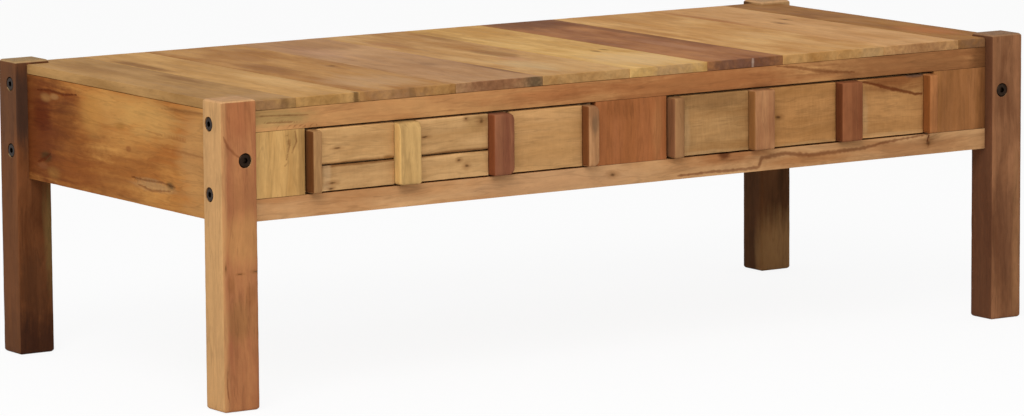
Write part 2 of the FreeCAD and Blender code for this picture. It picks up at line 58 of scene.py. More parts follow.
def add(tree, kind, settings, inputs):
    """Add a shader node: settings are its own properties, inputs are numbers or sockets to link from."""
    made = tree.nodes.new(kind)
    for key, value in settings.items():
        setattr(made, key, value)
    for key, value in inputs.items():
        if isinstance(value, bpy.types.NodeSocket):
            tree.links.new(value, made.inputs[key])
        else:
            made.inputs[key].default_value = value
    return made


def along_grain(grain, along, across):
    """Scale of a pattern whose figures are so many millimetres long and wide, for a grain axis."""
    scale = [1 / across] * 3
    scale["XYZ".index(grain)] = 1 / along
    return scale


# Layers of the figure: length along the grain and width across it in millimetres, and detail.
# The fibres are drawn coarser than real ones, so that they show.
FIGURE = {
    "blotch": (110, 40, 4.0),
    "band": (240, 16, 3.0),
    "streak": (130, 9, 5.0),
    "fibre": (26, 2.2, 3.0),
    "mottle": (15, 7, 4.0),
}
# Waves in the grain, how far they bend the figure and the marks, and the saw's scratches, in millimetres.
DRIFT_LENGTH = 130
DRIFT_WIDTH = 50
GRAIN_BEND = 18
MARK_BEND = 6
KERF_SPACING = 2.6
KERF_LENGTH = 14
# The rings of a knot: colour, strength, and the distances at which each begins and is full.
KNOT_RINGS = (("7d5029", 0.5, 3.6, 1.6), ("472a14", 0.75, 2.1, 1.3))
CRACK_BROWN = "5c2408"


def old_wood(name, grain, tones, seed, marks=(), sides=(), knots=(), sawn=0.0, cloud=1.0, fine=0.75):
    """Reclaimed hardwood, sanded and oiled. The eye sees patches and bands of colour along the grain, dark
    veins and fine streaks, mottled end grain, arrises paler from wear and from a painted highlight, dark
    cracks, and hardly any gloss.
    Each mark is a stain or a band of other wood, and a few are painted shade or a painted highlight: its
    centre and reach in millimetres (a reach of 0 goes right through), its colour and its strength. Each side
    is a direction, the colour and strength on faces that look that way, and the cosine at which it starts:
    it gives old surface and sapwood that were left, and on faces in shade it is painted shade. Each knot
    is a centre and a reach. Sawn is how strongly saw scratches show, cloud the weight of cloudy patches
    against straight bands, and fine how strongly the fine grain shows."""
    material = bpy.data.materials.new(name)
    material.use_nodes = True
    tree = material.node_tree
    tree.nodes.clear()
    place = add(tree, "ShaderNodeTexCoord", {}, {}).outputs["Object"]
    spot = add(tree, "ShaderNodeVectorMath", {"operation": "SCALE"}, {0: place, "Scale": 1 / MM}).outputs[0]

    drift_at = add(
        tree, "ShaderNodeVectorMath", {"operation": "MULTIPLY"},
        {0: spot, 1: along_grain(grain, DRIFT_LENGTH, DRIFT_WIDTH)},
    ).outputs[0]
    drift = add(
        tree, "ShaderNodeTexNoise", {"noise_dimensions": "4D"},
        {"Vector": drift_at, "W": seed, "Scale": 1.0, "Detail": 3.0},
    ).outputs["Color"]
    centred = add(
        tree, "ShaderNodeVectorMath", {"operation": "SUBTRACT"}, {0: drift, 1: (0.5, 0.5, 0.5)}
    ).outputs[0]
    bent = add(
        tree, "ShaderNodeVectorMath", {"operation": "MULTIPLY_ADD"},
        {0: centred, 1: [GRAIN_BEND] * 3, 2: spot},
    ).outputs[0]
    nearby = add(
        tree, "ShaderNodeVectorMath", {"operation": "MULTIPLY_ADD"},
        {0: centred, 1: [MARK_BEND] * 3, 2: spot},
    ).outputs[0]

    patterns = {}
    for layer, (along, across, detail) in FIGURE.items():
        at = add(
            tree, "ShaderNodeVectorMath", {"operation": "MULTIPLY"},
            {0: bent, 1: along_grain(grain, along, across)},
        ).outputs[0]
        patterns[layer] = add(
            tree, "ShaderNodeTexNoise", {"noise_dimensions": "4D"},
            {"Vector": at, "W": seed + along, "Scale": 1.0, "Detail": detail, "Roughness": 0.62,
             "Distortion": 0.3},
        ).outputs[0]

    banded = add(
        tree, "ShaderNodeMath", {"operation": "MULTIPLY"}, {0: patterns["band"], 1: 1.8 - cloud}
    ).outputs[0]
    mixed = add(
        tree, "ShaderNodeMath", {"operation": "MULTIPLY_ADD"}, {0: patterns["blotch"], 1: cloud, 2: banded}
    ).outputs[0]
    tone = add(
        tree, "ShaderNodeMapRange", {}, {"Value": mixed, "From Min": 0.68, "From Max": 1.12}
    ).outputs[0]
    colour = add(
        tree, "ShaderNodeMix", {"data_type": "RGBA"},
        {"Factor": tone, "A": linear(tones[0]), "B": linear(tones[1])},
    ).outputs["Result"]

    def ragged_distance(centre, reach, layer, mottling):
        """Distance from a spot in shares of its reach, made ragged by a layer of the figure and by mottle."""
        away = add(
            tree, "ShaderNodeVectorMath", {"operation": "SUBTRACT"}, {0: nearby, 1: centre}
        ).outputs[0]
        shares = [1 / size if size else 0 for size in reach]
        shared = add(
            tree, "ShaderNodeVectorMath", {"operation": "MULTIPLY"}, {0: away, 1: shares}
        ).outputs[0]
        distance = add(tree, "ShaderNodeVectorMath", {"operation": "LENGTH"}, {0: shared}).outputs["Value"]
        streaked = add(
            tree, "ShaderNodeMath", {"operation": "MULTIPLY_ADD"},
            {0: patterns[layer], 1: 1.2, 2: distance},
        ).outputs[0]
        return add(
            tree, "ShaderNodeMath", {"operation": "MULTIPLY_ADD"},
            {0: patterns["mottle"], 1: mottling, 2: streaked},
        ).outputs[0]

    for centre, reach, stain, strength in marks:
        ragged = ragged_distance(centre, reach, "streak", 0.5)
        amount = add(
            tree, "ShaderNodeMapRange", {"interpolation_type": "SMOOTHSTEP"},
            {"Value": ragged, "From Min": 2.05, "From Max": 1.2, "To Max": strength},
        ).outputs[0]
        colour = add(
            tree, "ShaderNodeMix", {"data_type": "RGBA"}, {"Factor": amount, "A": colour, "B": linear(stain)}
        ).outputs["Result"]

    for centre, reach in knots:
        ragged = ragged_distance(centre, reach, "fibre", 1.2)
        for stain, strength, far, near in KNOT_RINGS:
            amount = add(
                tree, "ShaderNodeMapRange", {"interpolation_type": "SMOOTHSTEP"},
                {"Value": ragged, "From Min": far, "From Max": near, "To Max": strength},
            ).outputs[0]
            colour = add(
                tree, "ShaderNodeMix", {"data_type": "RGBA"},
                {"Factor": amount, "A": colour, "B": linear(stain)},
            ).outputs["Result"]

    facing = add(tree, "ShaderNodeNewGeometry", {}, {}).outputs["Normal"]
    for direction, stain, strength, start in sides:
        towards = add(
            tree, "ShaderNodeVectorMath", {"operation": "DOT_PRODUCT"}, {0: facing, 1: direction}
        ).outputs["Value"]
        amount = add(
            tree, "ShaderNodeMapRange", {"interpolation_type": "SMOOTHSTEP"},
            {"Value": towards, "From Min": start, "From Max": start + 0.25, "To Max": strength},
        ).outputs[0]
        colour = add(
            tree, "ShaderNodeMix", {"data_type": "RGBA"}, {"Factor": amount, "A": colour, "B": linear(stain)}
        ).outputs["Result"]

    vein_height = add(
        tree, "ShaderNodeMath", {"operation": "SUBTRACT"}, {0: patterns["band"], 1: 0.5}
    ).outputs[0]
    vein_off = add(tree, "ShaderNodeMath", {"operation": "ABSOLUTE"}, {0: vein_height}).outputs[0]
    vein = add(
        tree, "ShaderNodeMapRange", {"interpolation_type": "SMOOTHSTEP"},
        {"Value": vein_off, "From Min": 0.0, "From Max": 0.025, "To Min": 1 - 0.18 * fine, "To Max": 1.0},
    ).outputs[0]
    pore = add(
        tree, "ShaderNodeMapRange", {"interpolation_type": "SMOOTHSTEP"},
        {"Value": patterns["fibre"], "From Min": 0.57, "From Max": 0.7,
         "To Min": 1.0, "To Max": 1 - 0.26 * fine},
    ).outputs[0]
    grain_sum = add(
        tree, "ShaderNodeMath", {"operation": "MULTIPLY_ADD"},
        {0: patterns["fibre"], 1: 0.7, 2: patterns["streak"]},
    ).outputs[0]
    grain_sum = add(
        tree, "ShaderNodeMath", {"operation": "MULTIPLY_ADD"}, {0: patterns["mottle"], 1: 0.7, 2: grain_sum}
    ).outputs[0]
    shade = add(
        tree, "ShaderNodeMapRange", {},
        {"Value": grain_sum, "From Min": 0.85, "From Max": 1.55,
         "To Min": 1.04 - 0.22 * fine, "To Max": 1.04 + 0.22 * fine},
    ).outputs[0]
    shade = add(tree, "ShaderNodeMath", {"operation": "MULTIPLY"}, {0: shade, 1: vein}).outputs[0]
    shade = add(tree, "ShaderNodeMath", {"operation": "MULTIPLY"}, {0: shade, 1: pore}).outputs[0]
    if sawn:
        kerf_at = add(
            tree, "ShaderNodeVectorMath", {"operation": "MULTIPLY"},
            {0: nearby, 1: along_grain(grain, KERF_SPACING, KERF_LENGTH)},
        ).outputs[0]
        kerf = add(
            tree, "ShaderNodeTexNoise", {"noise_dimensions": "4D"},
            {"Vector": kerf_at, "W": seed, "Scale": 1.0, "Detail": 2.0},
        ).outputs[0]
        kerf_shade = add(
            tree, "ShaderNodeMapRange", {},
            {"Value": kerf, "From Min": 0.3, "From Max": 0.7, "To Min": 1 - sawn, "To Max": 1 + sawn},
        ).outputs[0]
        shade = add(tree, "ShaderNodeMath", {"operation": "MULTIPLY"}, {0: shade, 1: kerf_shade}).outputs[0]
    grain_axis = [float(letter == grain) for letter in "XYZ"]
    end_on = add(
        tree, "ShaderNodeVectorMath", {"operation": "DOT_PRODUCT"}, {0: facing, 1: grain_axis}
    ).outputs["Value"]
    end_sharp = add(tree, "ShaderNodeMath", {"operation": "POWER"}, {0: end_on, 1: 6.0}).outputs[0]
    end_shade = add(
        tree, "ShaderNodeMapRange", {},
        {"Value": patterns["mottle"], "From Min": 0.3, "From Max": 0.7, "To Min": 0.62, "To Max": 0.94},
    ).outputs[0]
    shade = add(
        tree, "ShaderNodeMix", {"data_type": "FLOAT"}, {"Factor": end_sharp, "A": shade, "B": end_shade}
    ).outputs["Result"]
    colour = add(
        tree, "ShaderNodeVectorMath", {"operation": "SCALE"}, {0: colour, "Scale": shade}
    ).outputs[0]

    # Arrises are made paler: partly wear, partly a painted highlight.
    worn = add(tree, "ShaderNodeAttribute", {"attribute_name": "wear"}, {}).outputs["Fac"]
    worn_and_highlit_part = add(
        tree, "ShaderNodeMath", {"operation": "MULTIPLY"}, {0: worn, 1: patterns["band"]}
    ).outputs[0]
    worn_and_highlit_gain = add(
        tree, "ShaderNodeMapRange", {},
        {"Value": worn_and_highlit_part, "From Min": 0.25, "From Max": 0.6, "To Min": 1.0, "To Max": 1.3},
    ).outputs[0]
    colour = add(
        tree, "ShaderNodeVectorMath", {"operation": "SCALE"}, {0: colour, "Scale": worn_and_highlit_gain}
    ).outputs[0]
    split = add(tree, "ShaderNodeAttribute", {"attribute_name": "crack"}, {}).outputs["Fac"]
    colour = add(
        tree, "ShaderNodeMix", {"data_type": "RGBA"},
        {"Factor": split, "A": colour, "B": linear(CRACK_BROWN)},
    ).outputs["Result"]

    gloss = add(
        tree, "ShaderNodeMapRange", {},
        {"Value": patterns["streak"], "From Min": 0.3, "From Max": 0.7, "To Min": 0.62, "To Max": 0.8},
    ).outputs[0]
    relief = add(
        tree, "ShaderNodeBump", {}, {"Strength": 0.35, "Distance": 0.5 * MM, "Height": grain_sum}
    ).outputs[0]
    shader = add(
        tree, "ShaderNodeBsdfPrincipled", {},
        {"Base Color": colour, "Roughness": gloss, "Normal": relief, "Specular IOR Level": 0.06},
    ).outputs[0]
    add(tree, "ShaderNodeOutputMaterial", {}, {"Surface": shader})
    return material


uneven = bpy.data.textures.new("uneven", type="CLOUDS")
uneven.noise_scale = 70 * MM
nibbled = bpy.data.textures.new("nibbled", type="CLOUDS")
nibbled.noise_scale = 16 * MM
UNEVEN_DEPTH = 0.3 * MM
WORN_STRIP = 3 * MM
SHARP_ANGLE = math.radians(25)
SMOOTH_ANGLE = math.radians(35)


def cut_grid(low, high, cell):
    """Cut the piece in edit mode with parallel planes, so that its faces can be made uneven."""
    for axis in range(3):
        length = high[axis] - low[axis]
        count = math.ceil(length / (cell * MM))
        facing = [float(axis == other) for other in range(3)]
        for cut in range(1, count):
            point = list(low)
            point[axis] += length * cut / count
            bpy.ops.mesh.select_all(action="SELECT")
            bpy.ops.mesh.bisect(plane_co=point, plane_no=facing)


def saw_board(node, arris, wear, cell=7, shape=None):
    """A board sawn to its place: shaped if need be, arrises broken, then worn and made a little uneven.
    Arris and wear are depths in millimetres, and cell is the spacing of the points that wear moves."""
    low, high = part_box(node)
    bpy.ops.object.select_all(action="DESELECT")
    bpy.ops.mesh.primitive_cube_add(size=1, location=(low + high) / 2, scale=high - low)
    board = bpy.context.object
    board.name = board.data.name = f"{node}_wood"
    bpy.ops.object.transform_apply(location=True, rotation=False, scale=True)
    bpy.ops.object.mode_set(mode="EDIT")
    bpy.ops.mesh.select_mode(type="EDGE")
    if shape:
        shape(board)
    bpy.ops.mesh.select_all(action="DESELECT")
    bpy.ops.mesh.edges_select_sharp(sharpness=SHARP_ANGLE)
    bpy.ops.mesh.bevel(offset=arris * MM, segments=3, affect="EDGES")
    cut_grid(low, high, cell)
    bpy.ops.object.mode_set(mode="OBJECT")

    group = board.vertex_groups.new(name="arris")
    for name in ("wear", "crack"):
        board.data.attributes.new(name, "FLOAT", "POINT")
    shares = []
    for vertex in board.data.vertices:
        depths = sorted(min(vertex.co[i] - low[i], high[i] - vertex.co[i]) for i in range(3))
        shares.append(max(0, 1 - depths[1] / WORN_STRIP))
        group.add([vertex.index], shares[-1], "REPLACE")
    # The more an arris is worn, the paler it shows; the paleness is partly a painted highlight on the arris.
    rubbed_and_highlit = min(1, 1.2 * wear)
    board.data.attributes["wear"].data.foreach_set("value", [rubbed_and_highlit * share for share in shares])
    hollows = (("uneven", uneven, UNEVEN_DEPTH, ""), ("worn", nibbled, wear * MM, "arris"))
    for name, texture, depth, where in hollows:
        sink = board.modifiers.new(name, "DISPLACE")
        sink.texture = texture
        sink.texture_coords = "GLOBAL"
        sink.mid_level = 1
        sink.strength = depth
        sink.vertex_group = where
        bpy.ops.object.modifier_apply(modifier=name)
    return board


def reach_of(point, path, out):
    """Distance of a point from a path of straight runs, seen along the outward direction, and its share of
    the way along."""
    nearest = math.inf
    passed = 0.0
    along = 0.0
    for start, end in zip(path, path[1:]):
        share = min(max(geometry.intersect_point_line(point, start, end)[1], 0), 1)
        gap = point - start.lerp(end, share)
        distance = (gap - out * gap.dot(out)).length
        if distance < nearest:
            nearest = distance
            along = passed + share * (end - start).length
        passed += (end - start).length
    return nearest, along / passed


def pick(board):
    """Select one board alone."""
    bpy.ops.object.select_all(action="DESELECT")
    bpy.context.view_layer.objects.active = board
    board.select_set(True)


REFINED_REACHES = (8, 4, 2.5)
FINEST_FACE = 1.5 * MM ** 2
RAGGED_SHARE = 0.35
RAGGED_LENGTH = 4 * MM
TIP_WIDTH = 0.4


def crack(board, path, out, half_width, depth, dark):
    """Open a crack along a path of points, thinner to its ends: refine the faces near it and sink their
    points. Lengths are in millimetres, and dark is how strongly the crack is darkened."""
    out = Vector(out)
    path = [Vector(point) * MM for point in path]
    pick(board)
    bpy.ops.object.mode_set(mode="EDIT")
    bpy.ops.mesh.select_mode(type="FACE")
    for reach in REFINED_REACHES:
        mesh = bmesh.from_edit_mesh(board.data)
        for face in mesh.faces:
            coarse = face.calc_area() > FINEST_FACE and face.normal.dot(out) > 0.7
            near = coarse and reach_of(face.calc_center_median(), path, out)[0] < (reach + half_width) * MM
            face.select_set(near)
        bmesh.update_edit_mesh(board.data)
        bpy.ops.mesh.subdivide(number_cuts=1)
    bpy.ops.object.mode_set(mode="OBJECT")
    split = board.data.attributes["crack"]
    for vertex in board.data.vertices:
        distance, along = reach_of(vertex.co, path, out)
        ragged = RAGGED_SHARE * half_width * MM * noise.noise(vertex.co / RAGGED_LENGTH)
        width = half_width * MM * (TIP_WIDTH + (1 - TIP_WIDTH) * math.sin(math.pi * along))
        share = 1 - (distance + ragged) / width
        if share > 0 and vertex.normal.dot(out) > 0.3:
            split.data[vertex.index].value = dark * min(1, share * 1.6)
            vertex.co -= out * depth * MM * min(1, share) ** 0.7


def cut_away(board, tool):
    """Cut the shape of a tool out of a board and put the tool away."""
    bpy.context.view_layer.objects.active = board
    cut = board.modifiers.new("cut", "BOOLEAN")
    cut.object = tool
    cut.solver = "EXACT"
    bpy.ops.object.modifier_apply(modifier="cut")
    bpy.data.objects.remove(tool)


def bore_seat(board, centre, out, radius, depth):
    """Cut a round seat for a bolt head in a leg."""
    bpy.ops.object.select_all(action="DESELECT")
    turn = Vector((0, 0, 1)).rotation_difference(Vector(out)).to_euler()
    bpy.ops.mesh.primitive_cylinder_add(
        vertices=40, radius=radius, depth=2 * depth, location=centre, rotation=turn
    )
    cut_away(board, bpy.context.object)


def fix_board(board, node, body, wood):
    """Shade a finished board, give it its wood and let it stand for its CAD node."""
    pick(board)
    bpy.ops.object.shade_smooth_by_angle(angle=SMOOTH_ANGLE)
    board.data.materials.clear()
    board.data.materials.append(wood)
    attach(board, body)
    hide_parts(node)


EASED_END = 3.5 * MM


def ease_ends(leg):
    """Round the edges of a leg's foot and head."""
    mesh = bmesh.from_edit_mesh(leg.data)
    top = max(vertex.co.z for vertex in mesh.verts)
    for edge in mesh.edges:
        ends = [vertex.co.z for vertex in edge.verts]
        edge.select_set(max(ends) < MM or min(ends) > top - MM)
    bmesh.update_edit_mesh(leg.data)
    bpy.ops.mesh.bevel(offset=EASED_END, segments=4, affect="EDGES")


# Each leg's two tones, seed, marks, sides and knots, as old_wood takes them. Places are in millimetres.
LEG_WOODS = {
    "leg_front_left": (("92583a", "ad7549"), 1.0, [
        ((-528, 0, 325), (30, 0, 34), "9c5e3a", 0.6),
        ((-525, 0, 235), (30, 0, 28), "95603c", 0.6),
        ((-525, 0, 188), (34, 0, 32), "b5834f", 0.55),
        ((-528, 0, 98), (22, 0, 26), "8c6038", 0.6),
        ((-552, 0, 0), (9, 0, 0), "c2925f", 0.6),
        ((-552, 0, 330), (9, 0, 40), "a8794e", 0.7),
        ((-540, 0, 140), (6, 0, 12), "87552f", 0.5),
        ((-515, 0, 125), (7, 0, 14), "87552f", 0.5),
    ], [((-1, 0, 0), "c79a66", 0.8, 0.65), ((0, 0, 1), "cf9f6e", 0.9, 0.4)], [
        ((-508, 0, 152), (4, 0, 1.5)), ((-528, 0, 150), (4, 0, 1)), ((-546, 0, 158), (1, 0, 5)),
    ]),
    "leg_back_left": (("4e2a14", "7a4a2a"), 2.0, [
        ((-525, 210, 75), (30, 10, 60), "4c2d1a", 0.7),
        ((-503, 208, 140), (15, 14, 90), "755d36", 0.75),
        ((-530, 231, -4), (0, 0, 60), "331c12", 0.8),
        ((-540, 231, 290), (40, 0, 60), "3c2c24", 0.8),
    ], [((-1, 0, 0), "744a2e", 0.6, 0.6), ((0, 0, 1), "b08e62", 0.9, 0.4)], []),
    "leg_front_right": (("6a4229", "9c6b48"), 3.0, [
        ((542, 0, 100), (7, 0, 120), "a5764e", 0.5),
        ((525, 0, 110), (24, 0, 75), "5e3a26", 0.5),
        ((506, 0, 310), (10, 0, 50), "85593a", 0.6),
    # The front right leg's face that looks left, under the table, is painted darker: painted shade.
    ], [((-1, 0, 0), "5a3724", 0.85, 0.5), ((0, 0, 1), "9c7656", 0.85, 0.4)], []),
    "leg_back_right": (("3e2613", "6a4428"), 4.0, [
        ((530, 210, 22), (55, 16, 56), "9c7449", 0.85),
        ((527, 214, 340), (60, 30, 16), "b78d5e", 0.9),
    ], [((0, 0, 1), "cda072", 0.9, 0.4)], []),
}
# Two checks in the face of the front left leg: points across and up, half width, depth and darkness.
LEG_CHECKS = (
    (((-547, 302), (-541, 290), (-532, 281), (-526, 277)), 2.4, 0.4, 0.4),
    (((-545, 46), (-546, 30), (-544, 12)), 1.2, 0.5, 0.5),
)
SEAT_RADIUS = 8.25 * MM
SEAT_DEPTH = 5 * MM
HEAD_RADIUS = 7.75 * MM
end_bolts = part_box("end_face_bolts")
long_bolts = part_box("long_face_bolts")
for node, (tones, seed, marks, sides, knots) in LEG_WOODS.items():
    leg = saw_board(node, arris=2, wear=0.7, shape=ease_ends)
    low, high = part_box(node)
    end_sign = -1 if node.endswith("left") else 1
    face_sign = -1 if "front" in node else 1
    end_x = low.x if end_sign < 0 else high.x
    face_y = low.y if face_sign < 0 else high.y
    end_out = (end_sign, 0, 0)
    face_out = (0, face_sign, 0)
    if node == "leg_front_left":
        for line, half_width, depth, dark in LEG_CHECKS:
            crack(leg, [(x, face_y / MM, z) for x, z in line], face_out, half_width, depth, dark)
    for bolt_z in (end_bolts[0].z + HEAD_RADIUS, end_bolts[1].z - HEAD_RADIUS):
        bolt_y = face_sign * (end_bolts[1].y - HEAD_RADIUS)
        bore_seat(leg, (end_x, bolt_y, bolt_z), end_out, SEAT_RADIUS, SEAT_DEPTH)
    bolt_x = end_sign * (long_bolts[1].x - HEAD_RADIUS)
    bolt_z = (long_bolts[0].z + long_bolts[1].z) / 2
    bore_seat(leg, (bolt_x, face_y, bolt_z), face_out, SEAT_RADIUS, SEAT_DEPTH)
    wood = old_wood(f"oiled_hardwood_{node}", "Z", tones, seed, marks, sides, knots)
    fix_board(leg, node, "table", wood)

# End panels: one wide board at each end, held between the legs by the bolts, its grain from front to back.
# The left one is dark heartwood at the back and yellow sapwood above, with an old split, a gouge and a nick.
END_WOODS = {
    "end_panel_left": (("9c5b26", "be8646"), 11.0, [
        ((0, 150, 250), (0, 120, 80), "7a4018", 0.75),
        ((0, 60, 222), (0, 120, 30), "82451a", 0.65),
        ((0, 195, 262), (0, 75, 105), "642f14", 0.8),
        ((0, 176, 280), (0, 26, 22), "541f08", 0.7),
        ((0, 110, 310), (0, 26, 8), "743612", 0.65),
        ((0, 125, 280), (0, 32, 26), "6a3614", 0.6),
        ((0, 0, 305), (0, 65, 26), "c59250", 0.6),
        ((0, -60, 302), (0, 60, 28), "cb9a56", 0.6),
        ((0, 60, 296), (0, 28, 28), "bd8744", 0.6),
        ((0, -30, 240), (0, 85, 18), "955826", 0.6),
        ((0, -175, 265), (0, 48, 85), "bb8c55", 0.6),
        ((0, -150, 318), (0, 60, 4), "8a5e30", 0.6),
        ((0, -5, 287), (0, 16, 5), "95662e", 0.6),
        ((0, 166, 302), (0, 14, 5), "a97a46", 0.5),
        ((0, 146, 305), (0, 11, 4), "b38450", 0.5),
        ((0, 168, 234), (0, 14, 8), "4a3216", 0.75),
        ((0, 176, 224), (0, 14, 5), "8f5c38", 0.4),
        ((0, 150, 218), (0, 18, 8), "9a7038", 0.4),
        ((0, -76, 228), (0, 50, 8), "b08656", 0.8),
        ((0, -112, 232), (0, 12, 5), "503c22", 0.75),
        ((0, -23, 263), (0, 6, 4), "8a4f26", 0.6),
        ((0, -95, 300), (0, 50, 20), "c08f50", 0.6),
        ((0, 90, 226), (0, 60, 24), "854a20", 0.5),
    ], []),
    "end_panel_right": (("8c5528", "ad7842"), 12.0, [
        ((0, -60, 300), (0, 90, 30), "b98a54", 0.5),
        ((0, 130, 235), (0, 60, 30), "6f3f1e", 0.6),
    ], [((0, 70, 290), (0, 7, 5))]),
}
# The left panel's split, gouge with two dark lips, three fine checks and nick, given as the leg's are.
LEFT_END_CRACKS = (
    (((186, 309), (160, 311), (128, 309), (95, 312)), 2.2, 1.2, 0.8),
    (((-34, 231), (-60, 228), (-92, 227), (-122, 231)), 7, 2, 0.0),
    (((-28, 233), (-60, 232), (-95, 234), (-124, 231)), 1.8, 0.4, 0.5),
    (((-42, 226), (-72, 222), (-112, 226)), 1.8, 0.4, 0.5),
    (((-96, 316), (-205, 320)), 1.8, 0.3, 0.28),
    (((-100, 273), (-205, 271)), 1.8, 0.3, 0.28),
    (((-60, 288), (-150, 284)), 1.8, 0.3, 0.28),
    (((188, 226), (172, 231), (158, 238)), 3, 1.5, 0.6),
)
for node, (tones, seed, marks, knots) in END_WOODS.items():
    panel = saw_board(node, arris=0.5, wear=0.5)
    if node == "end_panel_left":
        left_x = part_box(node)[0].x / MM
        for line, half_width, depth, dark in LEFT_END_CRACKS:
            crack(panel, [(left_x, y, z) for y, z in line], (-1, 0, 0), half_width, depth, dark)
    wood = old_wood(f"oiled_hardwood_{node}", "Y", tones, seed, marks, knots=knots)
    fix_board(panel, node, "table", wood)

# Back panel: one wide board of oiled hardwood between the back legs, its grain along the table.
# The bolts hold it as they hold the end panels. It faces a wall, so it is plain.
panel = saw_board("back_panel", arris=0.5, wear=0.5, cell=9)
back_marks = [((-250, 0, 300), (180, 0, 30), "b98a54", 0.5), ((300, 0, 230), (120, 0, 25), "744526", 0.6)]
wood = old_wood("oiled_hardwood_back_panel", "X", ("8f5b33", "b07d4b"), 13.0, back_marks)
fix_board(panel, "back_panel", "table", wood)

# Front frame: two rails the length of the front with three upright stiles glued between them.
# Each is cut from another old board. A wavy split runs along the lower rail, and a short one in the upper.
FRAME_WOODS = {
    "front_top_rail": ("X", ("a56e42", "c08e59"), 21.0, [
        ((-475, 0, 316), (55, 0, 12), "97804f", 0.6),
        ((-110, 0, 316), (75, 0, 14), "9c5f36", 0.65),
        ((90, 0, 313), (190, 0, 26), "965a32", 0.75),
        ((400, 0, 313), (160, 0, 45), "865430", 0.75),
        ((505, 0, 313), (24, 0, 45), "6e4526", 0.85),
    ], []),
    "front_bottom_rail": ("X", ("ad7a4d", "c6996a"), 22.0, [
        ((-110, 0, 216), (130, 0, 30), "c0946a", 0.6),
        ((130, 0, 224), (55, 0, 9), "8f552c", 0.65),
        ((126, 0, 227), (10, 0, 7), "552a12", 0.85),
        ((240, 0, 212), (90, 0, 9), "945c2f", 0.6),
        ((400, 0, 213), (90, 0, 14), "9a6840", 0.6),
    ], [((-30, 0, 217), (6, 0, 3)), ((420, 0, 219), (5, 0, 4))]),
    "front_stile_left": ("Z", ("ac8049", "cfa467"), 23.0, [
        ((-441, 0, 262), (6, 0, 0), "8f6a3c", 0.6),
        ((-455, 0, 291), (10, 0, 12), "9c7644", 0.5),
    ], []),
    "front_stile_centre": ("Z", ("945930", "a0623a"), 24.0, [
        ((-20, 0, 292), (25, 0, 15), "7f4a26", 0.5),
        ((30, 0, 265), (9, 0, 40), "b07848", 0.4),
    ], []),
    "front_stile_right": ("Z", ("86562e", "a87044"), 25.0, [
        ((432, 0, 265), (8, 0, 0), "a8713f", 0.6),
        ((502, 0, 265), (8, 0, 0), "6a4020", 0.6),
    ], []),
}
# Splits and fine checks in the rails and the left stile, given as those of the leg are.
FRAME_CRACKS = {
    "front_top_rail": (
        (((-498, 319), (-432, 316)), 1.2, 0.5, 0.5),
        (((-490, 311), (-440, 309)), 1.2, 0.5, 0.5),
        (((-470, 306), (-420, 304)), 1.2, 0.5, 0.5),
        (((200, 324), (230, 320), (255, 315), (285, 311), (312, 309)), 2.8, 0.35, 0.55),
    ),
    "front_bottom_rail": (
        (((60, 208), (110, 209), (150, 208), (174, 209), (178, 219), (212, 222), (245, 217), (328, 219),
          (352, 223), (420, 228)), 3.2, 0.35, 0.6),
        (((422, 228), (419, 220), (421, 214)), 1.6, 1, 0.8),
    ),
    "front_stile_left": (
        (((-449, 300), (-447, 288), (-453, 276)), 1.4, 0.3, 0.5),
        (((-459, 296), (-456, 284), (-462, 262)), 1.4, 0.3, 0.5),
    ),
}
FRONT_OUT = (0, -1, 0)
for node, (grain, tones, seed, marks, knots) in FRAME_WOODS.items():
    piece = saw_board(node, arris=0.45, wear=0.1)
    front_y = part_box(node)[0].y / MM
    for line, half_width, depth, dark in FRAME_CRACKS.get(node, ()):
        crack(piece, [(x, front_y, z) for x, z in line], FRONT_OUT, half_width, depth, dark)
    wood = old_wood(f"oiled_hardwood_{node}", grain, tones, seed, marks, knots=knots)
    fix_board(piece, node, "table", wood)


# Inner frame: bearers under the top, and runners with a guide wall for the drawers, of plain sawn mango wood.
# They stand between the panels and the front frame, without oil, so they look paler and duller than the rest.
def clothe(node, material):
    """Give a CAD node that keeps its shape another material."""
    for slot in bpy.data.objects[node].material_slots:
        slot.material = material


bearer_wood = old_wood("sawn_mango_bearers", "X", ("a8845a", "c2a074"), 81.0, sawn=0.06)
runner_wood = old_wood("sawn_mango_runners", "Y", ("a8845a", "c2a074"), 82.0, sawn=0.06)
for node in ("top_bearer_front", "top_bearer_back"):
    clothe(node, bearer_wood)
for drawer in ("left", "right"):
    for side in ("left", "right"):
        clothe(f"runner_{drawer}_drawer_{side}", runner_wood)

